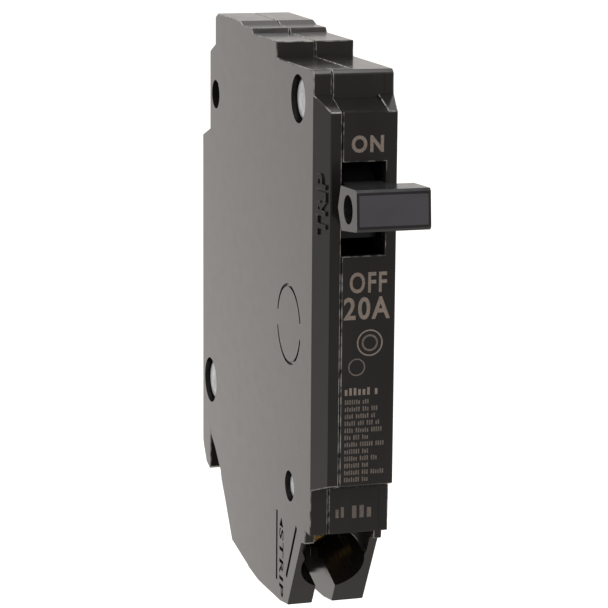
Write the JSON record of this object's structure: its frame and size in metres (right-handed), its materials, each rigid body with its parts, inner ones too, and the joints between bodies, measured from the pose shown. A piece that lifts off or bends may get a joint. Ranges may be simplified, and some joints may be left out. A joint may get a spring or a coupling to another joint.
{
  "type": "plug-in circuit breaker",
  "caption": "Thin single-pole plug-in circuit breaker: stepped moulded case, toggle handle with tie hole, tunnel wire lug at the lower end and a bus jaw at the upper rear.",
  "frame": {"origin": "top of the rail slot at the lower rear, on the mid plane of the module: the place that hooks on the panel's mounting rail", "axes": "+X across the module width, -Y out of the front with the handle, +Z towards the ON end"},
  "size_m": [0.0126, 0.085, 0.0923],
  "materials": {
    "case_moulding": "black glass-filled moulding, satin",
    "handle_moulding": "black moulding, finely textured",
    "zinc_rivet": "bright zinc plate",
    "steel": "zinc plated sheet steel",
    "spring_wire": "bright spring wire",
    "copper": "bare copper, rolled",
    "braid": "woven bare copper",
    "silver": "silver contact alloy, satin",
    "bimetal_strip": "rolled bimetal",
    "brass": "yellow brass and yellow zinc plate",
    "fibre": "vulcanised fibre"
  },
  "bodies": {
    "case": {"cover_shell": "case_moulding", "base_shell": "case_moulding", "rivet_top": "zinc_rivet", "rivet_rear": "zinc_rivet", "rivet_front": "zinc_rivet", "fixed_contact": "silver", "line_strap": "copper", "bus_jaw": "copper", "jaw_spring": "steel", "load_strap": "copper", "calibration_screw": "brass", "terminal_lug": "brass", "arc_plate_1": "steel", "arc_plate_2": "steel", "arc_plate_3": "steel", "arc_plate_4": "steel", "arc_plate_5": "steel", "arc_side_left": "fibre", "arc_side_right": "fibre", "vent_baffle": "fibre", "flexible_braid": "braid"},
    "handle": {"handle": "handle_moulding", "arm_pin": "steel"},
    "contact_arm": {"contact_arm": "copper", "moving_contact": "silver", "toggle_spring": "spring_wire"},
    "cradle": {"cradle": "steel"},
    "thermal_element": {"bimetal": "bimetal_strip", "magnet_yoke": "steel", "armature_spring": "spring_wire"},
    "armature": {"armature": "steel"},
    "wire_saddle": {"wire_saddle": "brass"},
    "terminal_screw": {"terminal_screw": "brass"}
  },
  "joints": [
    {"name": "handle_pivot", "type": "hinge", "parent": "case", "child": "handle", "pos_m": [0, -0.0562, 0.0499], "axis": [-1, 0, 0], "range_deg": [-22.5, 13]},
    {"name": "contact_arm_pivot", "type": "hinge", "parent": "handle", "child": "contact_arm", "pos_m": [0, -0.05134, 0.04799], "axis": [-1, 0, 0], "range_deg": [-20.5, 35.5], "deforming": ["toggle_spring"]},
    {"name": "cradle_pivot", "type": "hinge", "parent": "case", "child": "cradle", "pos_m": [0, -0.0432, 0.0359], "axis": [-1, 0, 0], "range_deg": [0, 15.8], "stiffness_Nm_per_rad": 0.005, "springref_deg": -17.19},
    {"name": "bimetal_flex", "type": "hinge", "parent": "case", "child": "thermal_element", "pos_m": [0, -0.0158, 0.0059], "axis": [-1, 0, 0], "range_deg": [0, 3], "stiffness_Nm_per_rad": 0.5, "springref_deg": -1.15},
    {"name": "armature_pivot", "type": "hinge", "parent": "thermal_element", "child": "armature", "pos_m": [0, -0.0213, 0.0103], "axis": [-1, 0, 0], "range_deg": [-2, 4], "stiffness_Nm_per_rad": 0.05, "deforming": ["armature_spring"]},
    {"name": "saddle_slide", "type": "slide", "parent": "case", "child": "wire_saddle", "axis": [0, 0.9472, 0.3206], "range_m": [-0.0006, 0.002]},
    {"name": "screw_turn", "type": "hinge", "parent": "wire_saddle", "child": "terminal_screw", "pos_m": [-0.0003, -0.043, -0.00604], "axis": [0, 0.9472, 0.3206], "range_deg": [-275, 910]}
  ],
  "couplings": [
    {"joint": "contact_arm_pivot", "follows": "handle_pivot", "ratio": -1.532},
    {"joint": "screw_turn", "follows": "saddle_slide", "rad_per_m": 7913.3}
  ]
}
